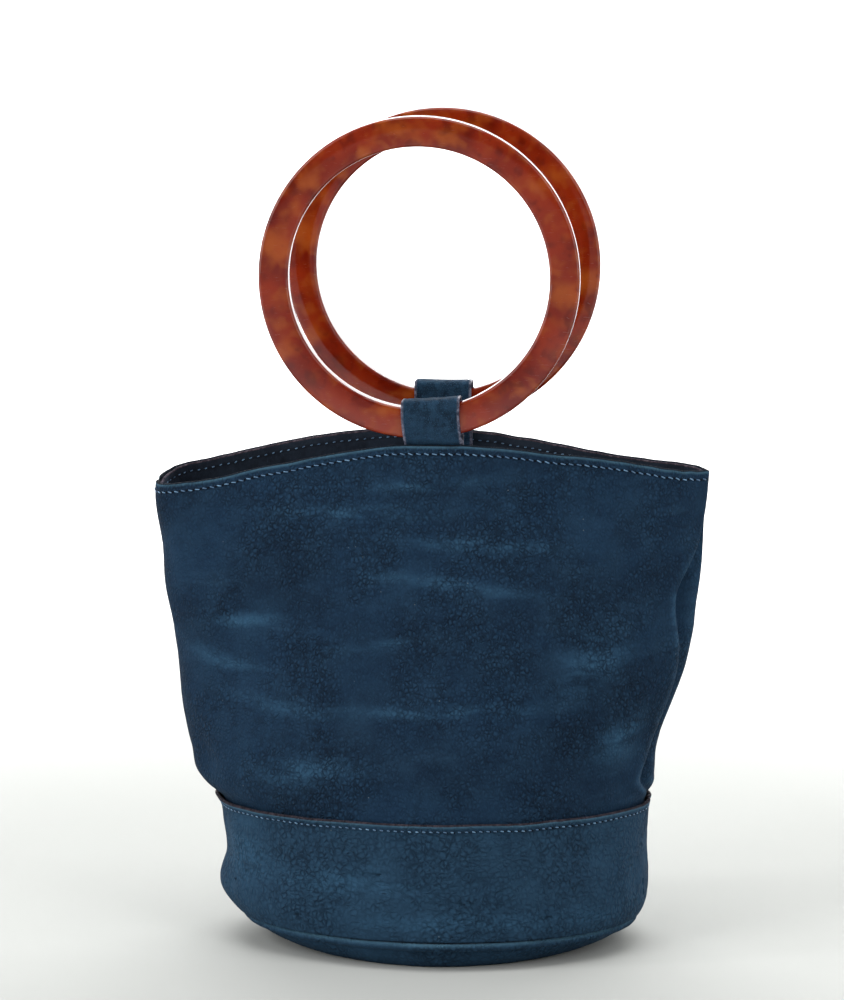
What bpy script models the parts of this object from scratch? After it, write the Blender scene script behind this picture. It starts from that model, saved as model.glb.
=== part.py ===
"""Leather bucket bag with two ring handles.

Frame: metres, +Z up, +X to the right of someone facing the front, front towards -Y.
The origin is on the ground, under the middle of the base.
"""

import math

import bmesh
import bpy
from mathutils import Matrix, Vector

# Body, measured on the outside of the leather panels
BASE_WIDTH = 0.2120
BASE_DEPTH = 0.1460
RIM_WIDTH = 0.2800
RIM_DEPTH = 0.0750
RIM_HEIGHT = 0.2580  # at the tabs, in the middle of each side
RIM_DIP = 0.0200  # how much lower the rim is at the side seams
FLARE = 1.8  # how early the walls spread above the band: 1 is a straight cone
LEATHER = 0.0020

# Base band, the welt under it and the base
BAND_BOTTOM = 0.0150
BAND_TOP = 0.0750
BAND_LAP = 0.0080  # how far the band covers the lower edge of the panels
WELT_DIAMETER = 0.0044
BASE_ROUNDING = 0.0140  # how far in from the panels the flat of the base ends
BOARD_THICKNESS = 0.0030
LINING_THICKNESS = 0.0012

# Inside of the rim and of the side seams
FACING_HEIGHT = 0.0350
FACING_THICKNESS = 0.0014
TAPE_WIDTH = 0.0140
TAPE_THICKNESS = 0.0010

# Ring handles and the leather tabs that hold them
RING_DIAMETER = 0.1600
RING_WIDTH = 0.0150
RING_THICKNESS = 0.0100
RING_EDGE_RADIUS = 0.0010
FRONT_RING_SHIFT = -0.0060  # the front ring rests a little to the left in its tab
TAB_WIDTH = 0.0300
TAB_LEATHER = 0.0015
RING_ABOVE_RIM = 0.0040
LOOP_SLACK = 0.0025  # spare height in a tab, above the ring in it
ANCHOR_DEPTH = 0.0280  # how far a tab reaches down inside the bag
FOLD_OUT = 0.0010  # a tab folds over the rim: its fold line is this far outside the panel
FOLD_UP = 0.0022  # and this far above the rim

# Clearances
GAP = 0.0003  # between pieces that lie on each other
RING_PLAY = 0.0004  # between a ring and the inside of its tab
NECK_PLAY = 0.0012  # under a tab's neck, so that it can lean inwards

HALF_TURN_SEGMENTS = 36
PANEL_ROWS = 10
TAPE_COLUMNS = 6
WELT_SIDES = 10
CURL_STEPS = 4
RING_SEGMENTS = 72
RING_CORNER_STEPS = 2
TAB_CORNER_STEPS = 3
SMOOTH_ANGLE = math.radians(35)

NAVY_NUBUCK = ((0.012, 0.036, 0.075), 0.82)
NAVY_EDGE = ((0.030, 0.060, 0.100), 0.70)
DARK_SUEDE = ((0.010, 0.018, 0.030), 0.95)
TAPE_FABRIC = ((0.012, 0.020, 0.034), 0.90)
GREY_BOARD = ((0.200, 0.185, 0.165), 0.90)
TORTOISESHELL = ((0.150, 0.022, 0.006), 0.12)


def clear_scene():
    for obj in list(bpy.data.objects):
        bpy.data.objects.remove(obj, do_unlink=True)


def make_material(name, look):
    colour, roughness = look
    material = bpy.data.materials.new(name)
    material.use_nodes = True
    shader = material.node_tree.nodes["Principled BSDF"]
    shader.inputs["Base Color"].default_value = (*colour, 1.0)
    shader.inputs["Roughness"].default_value = roughness
    shader.inputs["Metallic"].default_value = 0.0
    return material


def add_object(name, bm, look, parent=None):
    """Turn a bmesh, in the parent's space, into a smooth-shaded object with its own material."""
    bmesh.ops.recalc_face_normals(bm, faces=bm.faces)
    mesh = bpy.data.meshes.new(name)
    bm.to_mesh(mesh)
    bm.free()
    mesh.shade_smooth()
    mesh.set_sharp_from_angle(angle=SMOOTH_ANGLE)
    mesh.materials.append(make_material(name + "_material", look))
    obj = bpy.data.objects.new(name, mesh)
    obj.parent = parent
    bpy.context.scene.collection.objects.link(obj)
    return obj


def add_pivot(name, location, parent=None):
    pivot = bpy.data.objects.new(name, None)
    pivot.location = location
    pivot.parent = parent
    bpy.context.scene.collection.objects.link(pivot)
    return pivot


def half_sizes(z):
    """Half width and half depth of the body at height z: upright inside the band, flared above it."""
    rise = (z - BAND_TOP) / (RIM_HEIGHT - BAND_TOP)
    spread = 1 - (1 - min(max(rise, 0), 1)) ** FLARE
    half_width = (BASE_WIDTH + (RIM_WIDTH - BASE_WIDTH) * spread) / 2
    half_depth = (BASE_DEPTH + (RIM_DEPTH - BASE_DEPTH) * spread) / 2
    return half_width, half_depth


def wall_point(angle, z, outwards):
    """Point on the body's oval at an angle from +X, moved out along the oval's normal."""
    half_width, half_depth = half_sizes(z)
    across, along = math.cos(angle), math.sin(angle)
    normal = Vector((across / half_width, along / half_depth, 0)).normalized()
    return Vector((half_width * across, half_depth * along, z)) + normal * outwards


def rim_height(angle):
    """The rim is highest at the tabs and dips to the side seams."""
    return RIM_HEIGHT - RIM_DIP * math.cos(angle) ** 2


def bridge(bm, loops, closed):
    """Join a row of equal closed outlines with faces, and cap the ends unless the row closes."""
    count = len(loops[0])
    pairs = list(zip(loops, loops[1:]))
    if closed:
        pairs.append((loops[-1], loops[0]))
    for first, second in pairs:
        for i in range(count):
            j = (i + 1) % count
            bm.faces.new((first[i], first[j], second[j], second[i]))
    if not closed:
        bm.faces.new(loops[0])
        bm.faces.new(loops[-1])


def even_heights(bottom, top, rows):
    return [bottom + (top - bottom) * row / rows for row in range(rows + 1)]


def add_strip(name, columns, angle_at, heights, inner, outer, look):
    """A strip of leather that follows the body, between two distances from its outer surface.

    angle_at gives the angle of a column of points at a height, and heights the heights of a
    column's points from the bottom up.
    """
    bm = bmesh.new()
    loops = []
    for column in columns:
        rows = heights(column)
        up = [wall_point(angle_at(column, z), z, outer) for z in rows]
        down = [wall_point(angle_at(column, z), z, inner) for z in reversed(rows)]
        loops.append([bm.verts.new(point) for point in up + down])
    bridge(bm, loops, closed=False)
    add_object(name, bm, look)


def add_halves(front_name, back_name, heights, inner, outer, look):
    """A front and a back strip, each round half of the body, with a gap at the side seams."""
    shares = [i / HALF_TURN_SEGMENTS for i in range(HALF_TURN_SEGMENTS + 1)]
    for name, start in ((front_name, math.pi), (back_name, 0)):

        def angle_at(share, z, start=start):
            margin = GAP / 2 / half_sizes(z)[1]
            return start + margin + (math.pi - 2 * margin) * share

        add_strip(
            name,
            shares,
            angle_at,
            lambda share, start=start: heights(start + math.pi * share),
            inner,
            outer,
            look,
        )


def oval_loop(bm, inset, z, segments=2 * HALF_TURN_SEGMENTS):
    """Vertices round the base oval, drawn in by inset."""
    turn = [2 * math.pi * i / segments for i in range(segments)]
    return [
        bm.verts.new(
            Vector(
                (
                    (BASE_WIDTH / 2 - inset) * math.cos(angle),
                    (BASE_DEPTH / 2 - inset) * math.sin(angle),
                    z,
                )
            )
        )
        for angle in turn
    ]


def panel_heights(angle):
    """Upright as far as the band covers it, then flared up to the rim."""
    return [BAND_TOP - BAND_LAP, *even_heights(BAND_TOP, rim_height(angle), PANEL_ROWS)]


def add_panels():
    """Front and back leather panels, from under the band up to the rim."""
    add_halves("front_panel", "back_panel", panel_heights, -LEATHER, 0, NAVY_NUBUCK)


def band_heights(angle):
    return even_heights(BAND_BOTTOM, BAND_TOP, 2)


def add_bands():
    """Base band in two halves, outside the lower edge of the panels."""
    names = ("base_band_front", "base_band_back")
    add_halves(*names, band_heights, GAP, GAP + LEATHER, NAVY_NUBUCK)


def facing_heights(angle):
    return even_heights(rim_height(angle) - FACING_HEIGHT, rim_height(angle), 3)


def add_facings():
    """Leather facings sewn inside the rim."""
    outer = -LEATHER - GAP
    inner = outer - FACING_THICKNESS
    add_halves("front_facing", "back_facing", facing_heights, inner, outer, DARK_SUEDE)


def tape_heights(column):
    """From the lower edge of the panels up to just under the facings."""
    top = RIM_HEIGHT - RIM_DIP - FACING_HEIGHT - GAP
    return [BAND_TOP - BAND_LAP, *even_heights(BAND_TOP, top, PANEL_ROWS)]


def add_seam_tapes():
    """Tapes of even width over the side seams, inside, up to the facings."""
    across = [TAPE_WIDTH * (i / TAPE_COLUMNS - 0.5) for i in range(TAPE_COLUMNS + 1)]
    outer = -LEATHER - GAP
    inner = outer - TAPE_THICKNESS
    for name, seam in (("left_seam_tape", math.pi), ("right_seam_tape", 0)):

        def angle_at(offset, z, seam=seam):
            return seam + offset / half_sizes(z)[1]

        add_strip(name, across, angle_at, tape_heights, inner, outer, TAPE_FABRIC)


def welt_inset():
    """Inset of the welt's middle line, which keeps it flush with the outside of the band."""
    return WELT_DIAMETER / 2 - GAP - LEATHER


def add_welt():
    """Round leather welt between the band and the base."""
    radius = WELT_DIAMETER / 2
    centre_z = BAND_BOTTOM - GAP - radius
    bm = bmesh.new()
    loops = []
    for i in range(WELT_SIDES):
        angle = 2 * math.pi * i / WELT_SIDES + math.pi / 2
        inset = welt_inset() + radius * math.cos(angle)
        loops.append(oval_loop(bm, inset, centre_z + radius * math.sin(angle)))
    bridge(bm, loops, closed=True)
    add_object("base_welt", bm, NAVY_EDGE)


def base_curl(bm, inwards, top):
    """Loops up the outside of the base panel, or up its inside if inwards is its thickness."""
    side = welt_inset() - LEATHER / 2 + inwards
    flat = BASE_ROUNDING + inwards / 2
    loops = []
    for i in range(CURL_STEPS + 1):
        angle = math.pi / 2 * i / CURL_STEPS
        inset = flat + (side - flat) * math.sin(angle)
        z = inwards + (top - inwards) * (1 - math.cos(angle))
        loops.append(oval_loop(bm, inset, z))
    return loops


def add_base_panel():
    """Leather base: flat on the ground, with its edge curled up to the welt."""
    top = BAND_BOTTOM - 2 * GAP - WELT_DIAMETER
    bm = bmesh.new()
    outside = base_curl(bm, 0, top)
    inside = base_curl(bm, LEATHER, top)
    bridge(bm, outside + inside[::-1], closed=False)
    add_object("base_panel", bm, NAVY_NUBUCK)


def add_base_plate(name, bottom, thickness, look):
    """Flat oval piece inside the base, clear of the leather that curls up round it."""
    inset = BASE_ROUNDING + LEATHER / 2
    bm = bmesh.new()
    loops = [oval_loop(bm, inset, z) for z in (bottom, bottom + thickness)]
    bridge(bm, loops, closed=False)
    add_object(name, bm, look)


def add_base_inside():
    """Stiffening board on the base panel, and the suede lining over it."""
    board_bottom = LEATHER + GAP
    lining_bottom = board_bottom + BOARD_THICKNESS + GAP
    add_base_plate("base_board", board_bottom, BOARD_THICKNESS, GREY_BOARD)
    add_base_plate("base_lining", lining_bottom, LINING_THICKNESS, DARK_SUEDE)


def ring_plane():
    """Distance of a ring's middle plane from the middle of the mouth."""
    return RIM_DEPTH / 2 - LEATHER - GAP - FACING_THICKNESS - 2 * GAP - TAB_LEATHER


def arc(centre, radius, start, end, steps):
    """Points on an arc in a plane, from one angle in degrees to another."""
    return [
        (
            centre[0] + radius * math.cos(math.radians(start + (end - start) * i / steps)),
            centre[1] + radius * math.sin(math.radians(start + (end - start) * i / steps)),
        )
        for i in range(steps + 1)
    ]


def add_ring(name, parent, look):
    """Ring of rounded square section, turned about its own axis, which is Y."""
    half_width = RING_WIDTH / 2 - RING_EDGE_RADIUS
    half_thickness = RING_THICKNESS / 2 - RING_EDGE_RADIUS
    section = []
    for quarter, (side, face) in enumerate(((1, 1), (-1, 1), (-1, -1), (1, -1))):
        corner = (side * half_width, face * half_thickness)
        start = 90 * quarter
        section += arc(corner, RING_EDGE_RADIUS, start, start + 90, RING_CORNER_STEPS)
    middle = (RING_DIAMETER - RING_WIDTH) / 2
    bm = bmesh.new()
    loops = []
    for i in range(RING_SEGMENTS):
        turn = Matrix.Rotation(2 * math.pi * i / RING_SEGMENTS, 3, "Y")
        loops.append([bm.verts.new(turn @ Vector((middle + r, y, 0))) for r, y in section])
    bridge(bm, loops, closed=True)
    add_object(name, bm, look, parent)


def hole_rise():
    """How much higher the ring's inner edge is at the sides of a tab than in the ring's middle."""
    inner_radius = RING_DIAMETER / 2 - RING_WIDTH
    reach = TAB_WIDTH / 2 + abs(FRONT_RING_SHIFT)
    return inner_radius - math.sqrt(inner_radius**2 - reach**2)


def loop_outlines(side):
    """Outer and inner outline of a tab loop in its Y and Z, from its fold line.

    side is -1 on the front tab and 1 on the back tab: outwards is towards side.
    """
    radius = RING_EDGE_RADIUS
    half = RING_THICKNESS / 2 + RING_PLAY
    bottom = RING_ABOVE_RIM - FOLD_UP - RING_PLAY
    top = RING_ABOVE_RIM - FOLD_UP + RING_WIDTH + hole_rise() + LOOP_SLACK
    neck_bottom = NECK_PLAY - FOLD_UP

    def over_the_ring(corner_radius):
        """The loop's two upper corners, from outwards to inwards."""
        points = []
        for corner, start in ((half - radius, 0), (radius - half, 90)):
            centre = (corner, top - radius)
            points += arc(centre, corner_radius, start, start + 90, TAB_CORNER_STEPS)
        return points

    hole = [(-half, bottom), (half, bottom), *over_the_ring(radius)]
    outside = [
        (-TAB_LEATHER, neck_bottom),
        (TAB_LEATHER, neck_bottom),
        (half + TAB_LEATHER, bottom),
        *over_the_ring(radius + TAB_LEATHER),
        (-half - TAB_LEATHER, bottom),
    ]
    inwards = RIM_DEPTH / 2 + FOLD_OUT - ring_plane()
    return tuple([(side * (y - inwards), z) for y, z in line] for line in (outside, hole))


def extrude_along_x(bm, outline, half_width):
    """Two copies of an outline in Y and Z, at each side of the tab."""
    return [[bm.verts.new((x, y, z)) for y, z in outline] for x in (-half_width, half_width)]


def add_tab_loop(name, side, parent):
    """Leather loop round the bottom of a ring, closed below it and narrowed to its neck."""
    bm = bmesh.new()
    outline, hole = loop_outlines(side)
    bridge(bm, extrude_along_x(bm, outline, TAB_WIDTH / 2), closed=False)
    loop = add_object(name, bm, NAVY_NUBUCK, parent)
    cutter_bm = bmesh.new()
    bridge(cutter_bm, extrude_along_x(cutter_bm, hole, TAB_WIDTH), closed=False)
    cutter = add_object(name + "_hole", cutter_bm, NAVY_NUBUCK, parent)
    cutter.hide_render = True
    cutter.display_type = "WIRE"
    cut = loop.modifiers.new("ring_hole", "BOOLEAN")
    cut.operation = "DIFFERENCE"
    cut.object = cutter


def add_tab_anchor(name, side):
    """The doubled lower end of a tab, sewn to the inside of the facing."""
    top = RIM_HEIGHT - NECK_PLAY
    outer = side * (ring_plane() + TAB_LEATHER)
    inner = side * (ring_plane() - TAB_LEATHER)
    bm = bmesh.new()
    loops = extrude_along_x(
        bm,
        [(outer, top), (inner, top), (inner, top - ANCHOR_DEPTH), (outer, top - ANCHOR_DEPTH)],
        TAB_WIDTH / 2,
    )
    bridge(bm, loops, closed=False)
    add_object(name, bm, NAVY_NUBUCK)


def add_handle(label, side, shift):
    """One tab and its ring: the tab folds over the rim, and the ring turns in the tab."""
    fold = Vector((0, side * (RIM_DEPTH / 2 + FOLD_OUT), RIM_HEIGHT + FOLD_UP))
    tab_pivot = add_pivot(label + "_tab_pivot", fold)
    add_tab_anchor(label + "_tab_anchor", side)
    add_tab_loop(label + "_tab_loop", side, tab_pivot)
    centre = Vector(
        (shift, side * ring_plane(), RIM_HEIGHT + RING_ABOVE_RIM + RING_DIAMETER / 2)
    )
    ring_pivot = add_pivot(label + "_ring_pivot", centre - fold, tab_pivot)
    add_ring(label + "_ring", ring_pivot, TORTOISESHELL)


def main():
    clear_scene()
    add_panels()
    add_bands()
    add_facings()
    add_seam_tapes()
    add_welt()
    add_base_panel()
    add_base_inside()
    add_handle("front", -1, FRONT_RING_SHIFT)
    add_handle("back", 1, 0)


main()
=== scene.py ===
import math

import bpy
import numpy as np
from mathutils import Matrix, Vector


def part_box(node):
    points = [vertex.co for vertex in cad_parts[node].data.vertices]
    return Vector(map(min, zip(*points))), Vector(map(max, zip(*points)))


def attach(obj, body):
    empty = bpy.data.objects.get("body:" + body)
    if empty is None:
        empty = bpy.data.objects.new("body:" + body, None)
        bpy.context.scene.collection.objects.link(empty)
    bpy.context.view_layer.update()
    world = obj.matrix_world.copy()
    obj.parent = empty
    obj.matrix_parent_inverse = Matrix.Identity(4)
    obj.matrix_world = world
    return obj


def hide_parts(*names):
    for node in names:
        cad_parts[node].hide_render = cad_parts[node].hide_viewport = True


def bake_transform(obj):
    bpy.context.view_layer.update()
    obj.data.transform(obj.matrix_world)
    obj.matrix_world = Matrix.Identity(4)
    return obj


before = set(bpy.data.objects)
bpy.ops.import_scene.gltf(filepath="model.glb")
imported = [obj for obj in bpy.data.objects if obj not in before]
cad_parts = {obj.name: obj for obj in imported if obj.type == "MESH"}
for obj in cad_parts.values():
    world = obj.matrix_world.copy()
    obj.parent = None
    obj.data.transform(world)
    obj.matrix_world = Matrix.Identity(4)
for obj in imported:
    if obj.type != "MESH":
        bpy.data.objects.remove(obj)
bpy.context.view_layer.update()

MM = 0.001
RIGHT, BACK, LEFT, FRONT = 0, math.pi / 2, math.pi, 1.5 * math.pi

# Sizes of the CAD frame, in metres
BAND_LOW, BAND_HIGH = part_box("base_band_front")
_, PANEL_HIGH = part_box("front_panel")
WELT_LOW, WELT_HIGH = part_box("base_welt")
WELT_MIDDLE = (WELT_HIGH.z + WELT_LOW.z) / 2
_, CURL_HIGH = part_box("base_panel")
BOARD_LOW, BOARD_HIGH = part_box("base_board")
LINING_LOW, LINING_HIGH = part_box("base_lining")
BAND_OUTER = 2.3 * MM  # outside of the band, from the outside of the panels
LEATHER = 2.0 * MM
GAP = 0.3 * MM  # between pieces that are sewn together
FACING = 1.4 * MM
FACING_HEIGHT = 35 * MM
RING_WIDTH = 15 * MM
BAND_TOP = BAND_HIGH.z
BAND_BOTTOM = BAND_LOW.z
RIM_TOP = PANEL_HIGH.z
RIM_DIP = 20 * MM  # how much lower the rim is at the sides
FLARE = 1.8  # how soon the wall opens out above the band
BASE_HALF = (BAND_HIGH.x - BAND_OUTER, -BAND_LOW.y - BAND_OUTER)
RIM_HALF = (140.0 * MM, 37.5 * MM)

# How the worn leather stands away from the CAD shape, in millimetres, by height in millimetres.
# These and the rim tables were fitted to the photo's outline with scratch scripts: see report.md.
LEFT_SAG = (
    (10, -13.0), (12, -10.0), (15, -6.2), (20, -1.4), (24, 1.4), (27, 2.6), (30, 2.8), (44, 0.2),
    (59, 2.0), (68, 3.4),
    (75, 6.5), (80, 12.0),
    (84, 14.0), (98, 13.0), (108, 12.4), (122, 10.8), (138, 8.0), (153, 6.8), (184, 6.6),
    (200, 5.3), (230, 5.6), (240, 3.4),
)
RIGHT_SAG = (
    (10, -9.0), (12, -6.6), (15, -4.0), (20, -1.3), (26, -0.2), (33, 0.0), (49, -0.8),
    (67, -0.5), (74, 0.2),
    (80, 1.2), (88, -1.0),
    (98, -3.0), (110, -3.4), (127, -1.8), (143, -0.4), (160, -0.9), (174, -2.0), (189, -2.6),
    (220, -2.7), (243, -2.5),
)
DEPTH_SAG = (
    (10, 1.6), (16, 2.0), (30, 1.4), (60, 0.2), (75, 0.0), (95, 2.6), (140, 2.0), (190, 0.5), (258, 0.0),
)
# The rim's height against the CAD rim, by distance to the right of the middle
FRONT_RIM = (
    (-145, -2.8), (-142, -4.2), (-133, -5.9), (-126, -6.4), (-114, -7.1), (-103, -6.7), (-92, -5.9),
    (-81, -5.0), (-70, -4.3), (-60, -3.3), (-39, -1.0), (-18, 1.0), (-4, 1.1), (20, 1.4), (35, 1.4),
    (47, 1.1), (61, 1.0), (84, 1.9), (105, 2.3), (123, 2.8), (133, 4.2), (137, 5.2),
)
BACK_RIM = (
    (-145, -2.8), (-140, -1.5), (-131, -1.3), (-121, -2.1), (-100, -1.9), (-80, -1.7), (-66, -0.8),
    (-44, -0.5), (0, -0.4), (28, -2.0), (41, -2.7), (56, -3.2), (81, -3.4), (101, -1.4), (121, 2.5),
    (132, 4.7), (137, 5.2),
)
# Degrees by which the right side seam is drawn towards the front, by height
RIGHT_SEAM_TURN = (
    (70, 0), (76, 4), (86, 15), (100, 11), (121, 9), (153, 12.5), (170, 18), (184, 19), (197, 12),
    (208, 6), (226, 1), (258, 0),
)
# The oval's sides sharpen towards the mouth: everywhere, more at the right, less at the left corner
MOUTH_START = 0.35  # share of the rise above the band at which this starts
MOUTH_PINCH = 0.16
MOUTH_PINCH_RIGHT = 0.30
MOUTH_BLUNT_LEFT = 0.25
# Dents and bulges: the direction they are measured from, millimetres outwards, degrees across,
# width in degrees, height, half height, and lean in degrees for each millimetre up
DENTS = (
    (LEFT, -1.2, 16, 8, 62, 16, 0.0), (LEFT, 1.0, 24, 9, 50, 20, 0.0),
    (LEFT, -1.6, 23.5, 7, 98, 12, 0.25), (LEFT, 1.2, 10, 10, 30, 10, 0.0),
    (FRONT, -1.5, 35, 12, 112, 22, 0.5), (FRONT, -1.3, -42, 10, 150, 34, -0.35),
    (FRONT, 1.0, 10, 30, 150, 40, 0.0), (FRONT, -1.2, 30, 22, 226, 22, 0.0),
    (FRONT, 0.8, -20, 18, 205, 25, 0.0),
    (BACK, -2.2, 30, 14, 120, 30, 0.5), (BACK, -2.0, -34, 12, 150, 34, -0.4),
    (BACK, 1.6, 0, 26, 165, 36, 0.0),
)
# Rubbed streaks: the direction they are measured from, degrees across, height, width in degrees,
# half height, and slope in millimetres up for each degree
SMEARS = (
    (FRONT, -14, 224, 15, 4, 0.06), (FRONT, 14, 209, 14, 3, -0.10), (FRONT, 2, 240, 12, 3, 0.20),
    (FRONT, -50, 146, 13, 4, -0.30), (FRONT, -44, 168, 12, 3, 0.25), (FRONT, -36, 128, 12, 3, -0.2),
    (FRONT, 42, 152, 9, 14, 0.40), (FRONT, 58, 112, 8, 10, 0.30), (FRONT, -30, 96, 14, 6, 0.20),
    (FRONT, 6, 190, 16, 3, -0.25), (FRONT, 5, 128, 20, 3, 0.05), (FRONT, -8, 160, 9, 2, 0.30),
    (FRONT, -24, 44, 22, 9, 0.0), (FRONT, 20, 24, 40, 5, 0.0), (FRONT, -62, 50, 14, 16, 0.0),
    (BACK, 10, 200, 18, 5, 0.10), (BACK, -36, 140, 14, 5, -0.30), (BACK, 44, 110, 12, 6, 0.20),
    (BACK, -6, 232, 14, 3, 0.15), (BACK, 24, 170, 12, 4, -0.20), (BACK, 0, 30, 40, 8, 0.0),
)

# Sewing
RIM_STITCH_DROP = 4.6 * MM
RIM_PITCH = 4.0 * MM
BAND_STITCH_DROP = 3.8 * MM
BAND_PITCH = 3.5 * MM
THREAD = 0.29 * MM  # half its thickness
EDGE_TO_ROWS = 1 * MM  # from a strip's edge down to its first row of vertices
SEAM_ROUND = 0.9 * MM  # how far a strip's ends are rounded over at the side seams

# Pieces of the base and the tabs
TAPE_HALF = 7 * MM
TAPE_THICK = 1.0 * MM
WELT_PROUD = 0.7 * MM
BASE_INSET = 3.6 * MM  # from the outside of the band to the outside of the base's edge
SEWN_IN = np.array([18.0, 16.0, 14.0, 12.0]) * MM  # heights of the base's edge inside the band
CURL_FRONT = 8.0 * MM  # how far the base's edge curls in under the bag, at the front and back
CURL_SIDES = 19.0 * MM  # and how much farther at the sides
TAB_HALF = 14.6 * MM
TAB_THICK = 1.5 * MM
TAB_SLACK = 2.4 * MM  # between the ring and the top of the loop
# How each tab lies: slant across its top, how far it is raised, and how far its neck goes right
TAB_LIES = {"front": (0.05, 0.0, 1.5 * MM), "back": (0.0, 1.6 * MM, 0.0)}

COLUMNS = 240  # of the mesh, along half of the body
EDGE_POINTS = 5  # round the edge of a leather strip
HALF_ROUND = 290 * MM  # about the length of leather round half of the body
FAR = 9.0  # millimetres from any stitch or edge, for what has none

# Name, place, aim, size in metres, and power in watts
LIGHTS = (
    ("left_softbox", (-1.7, -1.5, 1.15), (0, 0, 0.55), (0.9, 2.2), 32),
    ("left_strip", (-1.7, -0.6, 0.9), (0, 0, 0.3), (0.10, 1.8), 14),
    ("right_softbox", (1.7, -1.5, 1.15), (0, 0, 0.55), (0.9, 2.2), 22),
    ("right_strip", (1.7, -0.5, 0.9), (0, 0, 0.3), (0.08, 1.6), 7),
    ("top_light", (0.0, -0.5, 2.2), (0, 0, 0), (1.4, 1.0), 18),
    ("floor_light", (0.0, 2.0, 2.7), (0, 2.3, 0), (4.0, 1.6), 25),
    ("backdrop_light", (0.0, 2.6, 3.4), (0, 4.2, 0.8), (5.0, 1.0), 320),
)

NAVY = (0.0052, 0.0185, 0.0420)
NAVY_PALE = (0.0170, 0.0460, 0.0840)
NAVY_DARK = (0.0030, 0.0110, 0.0260)
# Painted shade, for the lines between pebbles, the creases and the sewing groove
NAVY_PAINTED_SHADE = (0.0012, 0.0040, 0.0095)
# Pale nap: real rubbed streaks, also used for painted highlight on the seam ridges
NAVY_RUBBED_AND_HIGHLIT = (0.0260, 0.0750, 0.1350)
# Pale edge: real wear together with painted highlight on rolled edges
NAVY_EDGE_WEAR_AND_HIGHLIGHT = (0.0560, 0.1280, 0.1850)


def smooth_curve(points, x):
    """A smooth line through (x, y) points, flat beyond its ends."""
    px, py = np.array(points, float).T
    slope = np.gradient(py, px)
    x = np.clip(x, px[0], px[-1])
    i = np.clip(np.searchsorted(px, x) - 1, 0, len(px) - 2)
    span = px[i + 1] - px[i]
    t = (x - px[i]) / span
    rise = py[i] * (1 + 2 * t) * (1 - t) ** 2 + py[i + 1] * t**2 * (3 - 2 * t)
    return rise + span * t * (1 - t) * (slope[i] * (1 - t) - slope[i + 1] * t)


def ease(value, start, end):
    """0 before start and 1 after end, smooth in between."""
    t = np.clip((value - start) / (end - start), 0, 1)
    return t * t * (3 - 2 * t)


def hump(value, centre, width):
    return np.exp(-(((value - centre) / width) ** 2))


def lumps(u, v, seed):
    """Smooth noise from -1 to 1, about one lump for each unit of u and v."""
    grid = np.random.default_rng(seed).uniform(-1, 1, (64, 64))
    iu, iv = np.floor(u).astype(int), np.floor(v).astype(int)
    fu, fv = u - iu, v - iv
    fu, fv = fu * fu * (3 - 2 * fu), fv * fv * (3 - 2 * fv)
    low = grid[iu % 64, iv % 64] * (1 - fu) + grid[(iu + 1) % 64, iv % 64] * fu
    high = grid[iu % 64, (iv + 1) % 64] * (1 - fu) + grid[(iu + 1) % 64, (iv + 1) % 64] * fu
    return low * (1 - fv) + high * fv


def around(angle, target):
    """Signed angle from target, in degrees."""
    return np.degrees(np.arctan2(np.sin(angle - target), np.cos(angle - target)))


def rise_at(z):
    return np.clip((z - BAND_TOP) / (RIM_TOP - BAND_TOP), 0, 1)


def flat_wall(angle, z):
    """The body's outer surface before its folds, at an angle from the right side seam."""
    spread = 1 - (1 - rise_at(z)) ** FLARE
    half = BASE_HALF[0] + (RIM_HALF[0] - BASE_HALF[0]) * spread
    depth = BASE_HALF[1] + (RIM_HALF[1] - BASE_HALF[1]) * spread
    depth = depth + smooth_curve(DEPTH_SAG, z / MM) * MM
    left = half + smooth_curve(LEFT_SAG, z / MM) * MM
    right = half + smooth_curve(RIGHT_SAG, z / MM) * MM
    x = (right - left) / 2 + (right + left) / 2 * np.cos(angle)
    pinch = MOUTH_PINCH + MOUTH_PINCH_RIGHT * np.cos(angle)
    pinch = pinch - MOUTH_BLUNT_LEFT * ease(-np.cos(angle), 0.55, 1)
    pinch = 1 + ease(rise_at(z), MOUTH_START, 1) * pinch
    y = depth * np.sign(np.sin(angle)) * np.abs(np.sin(angle)) ** pinch
    return np.stack(np.broadcast_arrays(x, y, z), -1)


def folds(angle, z):
    """How far the folds and dents stand out from the flat wall, in metres."""
    high = z / MM
    turn = smooth_curve(RIGHT_SEAM_TURN, high)
    from_seam = around(angle + np.radians(turn), RIGHT)
    strength = turn / 20
    out = 2.4 * strength * hump(from_seam, -6, 5)
    out -= 3.6 * strength * hump(from_seam, 2.5, 3.0)
    out += 2.6 * strength * hump(from_seam, 13, 8)
    for way, height, across, width, level, tall, lean in DENTS:
        place = around(angle, way) + lean * (high - level)
        out += height * hump(place, across, width) * hump(high, level, tall)
    calm = 1 - 0.6 * ease(high, 236, 250)
    out += 0.55 * calm * lumps(angle * 4 + 31, high / 34 + 7, 3)
    out += 0.24 * calm * lumps(angle * 9 + 60, high / 15 + 3, 4)
    return out * MM


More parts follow.
